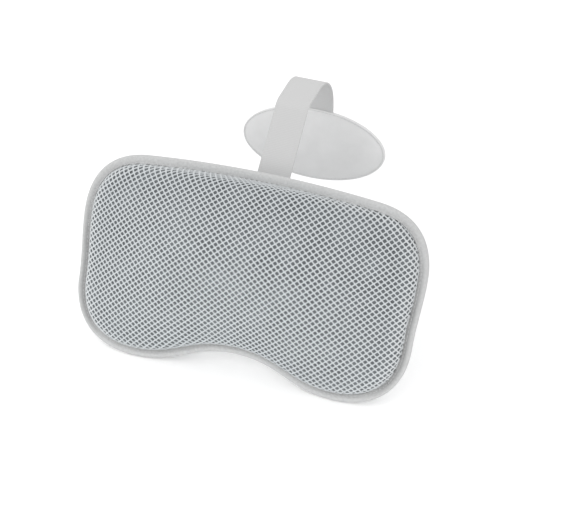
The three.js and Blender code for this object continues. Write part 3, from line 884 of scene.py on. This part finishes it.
def strap_line():
    """The strap's centre line in the side view, from its sewn end on the pillow's back to its other end."""
    leg = toward(LEG_LEAN)
    tab = toward(PILLOW_LEAN)
    start = pillow_flex - tab * TAB_LENGTH
    line = [start + tab * (TAB_LENGTH - 5) * share / 40 for share in range(41)]
    line += round_off(line[-1], pillow_flex, pillow_flex + leg * 5)
    first = line[-1]
    line += [first.lerp(front_flex, share / 60) for share in range(1, 61)]
    line += [front_bend_centre + toward((LEG_LEAN - math.pi / 2) * (1 - share / 20)) * FRONT_BEND
             for share in range(1, 21)]
    crest = line[-1]
    line += [crest.lerp(Vector((SADDLE / 2, crest.y)), share / 24) for share in range(1, 25)]
    line += [rear_bend_centre + toward(math.pi / 2 * share / 44) * REAR_BEND for share in range(1, 45)]
    end_way = -toward(WEIGHT_LEAN)
    drop = weight_flex + toward(0) * 4
    line += [rear_bend_end.lerp(drop, share / 4) for share in range(1, 5)]
    line += round_off(drop, weight_flex, weight_flex + end_way * 4)
    tip = line[-1]
    line += [tip + end_way * (END_TAB - 2) * share / 8 for share in range(1, 9)]
    return line


def strap_section():
    """Points (across, off) round the strap's flat section, thicker at its two woven edges."""
    half = STRAP_WIDTH / 2
    face = STRAP_THICKNESS / 2
    upper = [
        (half, 0.0), (half - 0.15, 0.45), (half - 0.6, face), (half - 1.3, face + 0.08), (half - 2.2, face),
        (half - 2.7, face - 0.14), (half - 3.2, face - 0.02), (half - 6, face), (half - 11, face),
    ]
    right = upper + [(0.0, face)]
    left = [(-across, off) for across, off in reversed(upper)]
    top = right + left
    return top + [(across, -off) for across, off in reversed(top[1:-1])]


def rounded_key(point):
    return tuple(round(part, 4) for part in point)


def strap_piece(name, line, first, last, material):
    """One length of the strap between two of its line's points, with its own weave map."""
    section = strap_section()
    walked = [0.0]
    for before, after in zip(line, line[1:]):
        walked.append(walked[-1] + (after - before).length)
    rings = []
    for i in range(first, last + 1):
        along = (line[min(i + 1, len(line) - 1)] - line[max(i - 1, 0)]).normalized()
        off = Vector((-along.y, along.x))
        rings.append([Vector((across, *(line[i] + off * rise))) for across, rise in section])
    bm = bmesh.new()
    loft(bm, rings)
    ends = cap_holes(bm)
    weave = bm.loops.layers.uv.new("weave")
    station = bm.verts.layers.int["station"]
    distances = {}
    for i, ring in enumerate(rings):
        for point in ring:
            distances[rounded_key(point)] = walked[first + i]
    for face in bm.faces:
        for corner in face.loops:
            across = section[corner.vert[station]][0]
            corner[weave].uv = (across * MM, distances[rounded_key(corner.vert.co)] * MM)
    for face in ends:
        for edge in face.edges:
            edge.smooth = False
    return place_piece(bm, name, SIDE_PLACE, material)


def strap(material):
    """The strap in four lengths, each shaped round its bend at one flex line."""
    line = strap_line()

    def spot(point):
        return Vector((0, point.x, point.y)) * MM

    def nearest(point):
        return min(range(len(line)), key=lambda i: (line[i] - point).length)

    leg_middle = nearest((pillow_flex + front_flex) / 2)
    crest = nearest(Vector((0, STRAP_THICKNESS / 2)))
    rear_middle = nearest(rear_bend_centre + toward(math.radians(80)) * REAR_BEND)
    lengths = [
        ("strap_front_foot", 0, leg_middle, "pillow", "front_strap", pillow_flex, 9,
         ("strap_sewn_tab",)),
        ("strap_front_rise", leg_middle, crest, "front_strap", "saddle", front_flex, 11,
         ("strap_front_leg",)),
        ("strap_rear_fall", crest, rear_middle, "saddle", "rear_strap", rear_flex, 8,
         ("strap_saddle", "strap_rear_leg")),
        ("strap_rear_foot", rear_middle, len(line) - 1, "rear_strap", "counterweight", weight_flex, 7,
         ("strap_end_tab",)),
    ]
    for name, first, last, before, after, flex, reach, nodes in lengths:
        piece = strap_piece(name, line, first, last, material)
        middle = nearest(flex)
        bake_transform(piece)
        dress(piece, None, nodes)


def box_seam(material):
    """The sewn box with crossed diagonals that holds the strap's end on the pillow's back."""
    half_width = STRAP_WIDTH / 2 - BOX_MARGIN
    half_length = BOX_LENGTH / 2
    middle = ROOT_RISE - TAB_LENGTH + BOX_MARGIN + half_length
    level = TAB_LEVEL - STRAP_THICKNESS / 2 - 0.1

    def corner(x, y):
        return Vector((x * half_width, middle + y * half_length, level))

    sides = [
        (corner(-1, -1), corner(1, -1)), (corner(1, -1), corner(1, 1)), (corner(1, 1), corner(-1, 1)),
        (corner(-1, 1), corner(-1, -1)), (corner(-1, -1), corner(1, 1)), (corner(1, -1), corner(-1, 1)),
    ]
    bm = bmesh.new()
    for start, end in sides:
        count = round((end - start).length / BOX_STITCH)
        holes = [start.lerp(end, i / count) for i in range(count + 1)]
        sewn_run(bm, holes, 0.36, Vector((0, 0, -0.1)), closed=False)
    place_piece(bm, "box_stitches", PILLOW_PLACE, material, "pillow", ("strap_box_stitch",))


# Counterweight


def weight_cover(name, side, material, nodes):
    """One padded cover of the counterweight: a flat sewn rim and a filled middle."""
    outline = weight_outline(WEIGHT_STATIONS)
    rise = WEIGHT_HALF_THICKNESS - RIM_FACE

    def face(draw):
        return RIM_FACE + rise * puff(draw, 2.4, 1.7)

    draws = [0.02, 0.06, 0.12, 0.2, 0.3, 0.42, 0.56, 0.72, 0.88, 1.0]
    rings = [
        outline.ring(3.6, RIM_BACK),
        outline.ring(0.5, RIM_BACK),
        outline.ring(0.1, RIM_BACK + 0.2),
        outline.ring(0.0, RIM_BACK + 0.5),
        outline.ring(0.15, RIM_FACE - 0.2),
        outline.ring(0.6, RIM_FACE),
        outline.ring(1.2, RIM_FACE - 0.15),
        outline.ring(1.6, RIM_FACE - 0.25),
        outline.ring(2.0, RIM_FACE - 0.15),
        outline.ring(2.6, RIM_FACE + 0.05),
        *[outline.ring(RIM_WIDTH, face(draw), draw) for draw in draws],
    ]
    bm = bmesh.new()
    loft(bm, rings)
    bmesh.ops.remove_doubles(bm, verts=bm.verts, dist=0.01)
    cap_holes(bm)
    if side < 0:
        bm.transform(Matrix.Rotation(math.pi, 4, "Y"))
    piece = place_piece(bm, name, WEIGHT_PLACE, material, "counterweight", nodes)
    return piece


def weight_band(material):
    """The strip between the two covers' rims, open at the top where the strap goes in."""
    outline = weight_outline(WEIGHT_STATIONS)
    hidden = STRAP_WIDTH / 2 + 0.3
    section = [(0.35, -0.75), (0.15, -0.4), (0.1, 0), (0.15, 0.4), (0.35, 0.75), (4, 0.75), (4, -0.75)]
    rings = []
    for i, point in enumerate(outline.points):
        if point.y < 0 or abs(point.x) > hidden:
            rings.append([Vector((*outline.at(i, inset), height)) for inset, height in section])
    bm = bmesh.new()
    loft(bm, rings)
    cap_holes(bm)
    return place_piece(bm, "weight_band", WEIGHT_PLACE, material, "counterweight",
                       ("weight_edge_band",))


def weight_seam(material):
    """The rim's seam, one thread on each cover."""
    outline = weight_outline(WEIGHT_STITCHES)
    for name, side, node in (
        ("weight_needle_stitches", 1, "weight_needle_thread"),
        ("weight_bobbin_stitches", -1, "weight_bobbin_thread"),
    ):
        bm = bmesh.new()
        sewn_run(bm, outline.ring(1.6, side * (RIM_FACE - 0.1)), 0.3, Vector((0, 0, side * 0.05)))
        place_piece(bm, name, WEIGHT_PLACE, material, "counterweight", (node,))


# Stage


def floor_finish():
    """A white floor that keeps the object's shadow."""
    material = bpy.data.materials.new("studio_floor")
    material.use_nodes = True
    tree = material.node_tree
    tree.nodes.clear()
    sheet = tree.nodes.new("ShaderNodeBsdfDiffuse")
    sheet.inputs["Color"].default_value = (0.95, 0.95, 0.95, 1)
    glow = tree.nodes.new("ShaderNodeEmission")
    path = tree.nodes.new("ShaderNodeLightPath")
    seen = tree.nodes.new("ShaderNodeMath")
    seen.operation = "MAXIMUM"
    tree.links.new(path.outputs["Is Camera Ray"], seen.inputs[0])
    tree.links.new(path.outputs["Is Glossy Ray"], seen.inputs[1])
    level = tree.nodes.new("ShaderNodeMath")
    level.operation = "MULTIPLY"
    level.inputs[1].default_value = FLOOR_GLOW
    tree.links.new(seen.outputs[0], level.inputs[0])
    tree.links.new(level.outputs[0], glow.inputs["Strength"])
    both = tree.nodes.new("ShaderNodeAddShader")
    tree.links.new(sheet.outputs[0], both.inputs[0])
    tree.links.new(glow.outputs[0], both.inputs[1])
    out = tree.nodes.new("ShaderNodeOutputMaterial")
    tree.links.new(both.outputs[0], out.inputs["Surface"])
    return material


def studio():
    """The floor, the even world light and four soft lamps."""
    bm = bmesh.new()
    bmesh.ops.create_grid(bm, x_segments=2, y_segments=2, size=6)
    bmesh.ops.translate(bm, verts=bm.verts, vec=(0, 0, cad_box[0].z - FLOOR_GAP))
    mesh = bpy.data.meshes.new("studio_floor")
    bm.to_mesh(mesh)
    bm.free()
    floor = bpy.data.objects.new("studio_floor", mesh)
    bpy.context.scene.collection.objects.link(floor)
    floor.data.materials.append(floor_finish())

    world = bpy.data.worlds.new("studio")
    world.use_nodes = True
    world.node_tree.nodes["Background"].inputs["Color"].default_value = (1, 1, 1, 1)
    world.node_tree.nodes["Background"].inputs["Strength"].default_value = WORLD_STRENGTH
    bpy.context.scene.world = world

    middle = Vector((0, -0.06, -0.1))
    for name, spot, target, size, power in (
        ("key", (-0.9, -1.3, 1.1), middle, (1.2, 1.2), 4.2),
        ("fill", (1.2, -1.0, 0.7), middle, (1.2, 1.2), 1.3),
        ("bounce", (0, -0.6, 0.1), Vector((0, -0.6, -1)), (1.4, 0.5), 1.3),
        ("back", (-0.2, 1.2, 1.5), middle, (1.0, 1.0), 5),
    ):
        lamp = bpy.data.lights.new(name, "AREA")
        lamp.shape = "RECTANGLE"
        lamp.size, lamp.size_y = size
        lamp.energy = power
        holder = bpy.data.objects.new(name, lamp)
        holder.location = spot
        aim = target - Vector(spot)
        holder.rotation_euler = aim.to_track_quat("-Z", "Y").to_euler()
        bpy.context.scene.collection.objects.link(holder)


def camera():
    """A long lens at the photograph's angle, framed by the pixel that shows the pillow's middle."""
    right = Vector((math.cos(CAMERA_AZIMUTH), math.sin(CAMERA_AZIMUTH), 0))
    back = Vector((
        math.sin(CAMERA_AZIMUTH) * math.cos(CAMERA_ELEVATION),
        -math.cos(CAMERA_AZIMUTH) * math.cos(CAMERA_ELEVATION),
        math.sin(CAMERA_ELEVATION),
    ))
    up = back.cross(right)
    middle = PILLOW_PLACE @ Vector((0, 0, 0))
    step = MM_PER_PIXEL * MM
    aim = middle + right * (PHOTO_WIDTH / 2 - PILLOW_MIDDLE_PIXEL[0]) * step
    aim -= up * (PHOTO_HEIGHT / 2 - PILLOW_MIDDLE_PIXEL[1]) * step
    lens = bpy.data.cameras.new("camera")
    lens.sensor_width = 36
    lens.lens = 36 * CAMERA_DISTANCE / (PHOTO_WIDTH * step)
    lens.clip_end = 50
    holder = bpy.data.objects.new("camera", lens)
    turn = back.to_track_quat("Z", "Y").to_matrix().to_4x4()
    holder.matrix_world = Matrix.Translation(aim + back * CAMERA_DISTANCE) @ turn
    bpy.context.scene.collection.objects.link(holder)
    bpy.context.scene.camera = holder


# The whole object

camera()
studio()

felt = felt_finish("binding_felt", (0.6, 0.605, 0.605))
thread = thread_finish("binding_thread", (0.58, 0.585, 0.59))
pale_thread = thread_finish("cover_thread", (0.76, 0.76, 0.76))
cover = cover_finish()
webbing = webbing_finish()

net_cover(cushion(backing_finish()), net_finish())
binding(felt)
binding_seam(thread)
back_sheet(panel_finish())
strap(webbing)
box_seam(thread)
weight_cover("weight_inner_face", 1, cover, ("weight_inner_cover", "weight_inner_pad"))
weight_cover("weight_outer_face", -1, cover, ("weight_outer_cover", "weight_outer_pad"))
weight_band(cover)
weight_seam(pale_thread)

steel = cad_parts["weight_plate"]
steel.data.materials.clear()
steel.data.materials.append(plate_finish())

bpy.context.scene.view_settings.view_transform = "Standard"
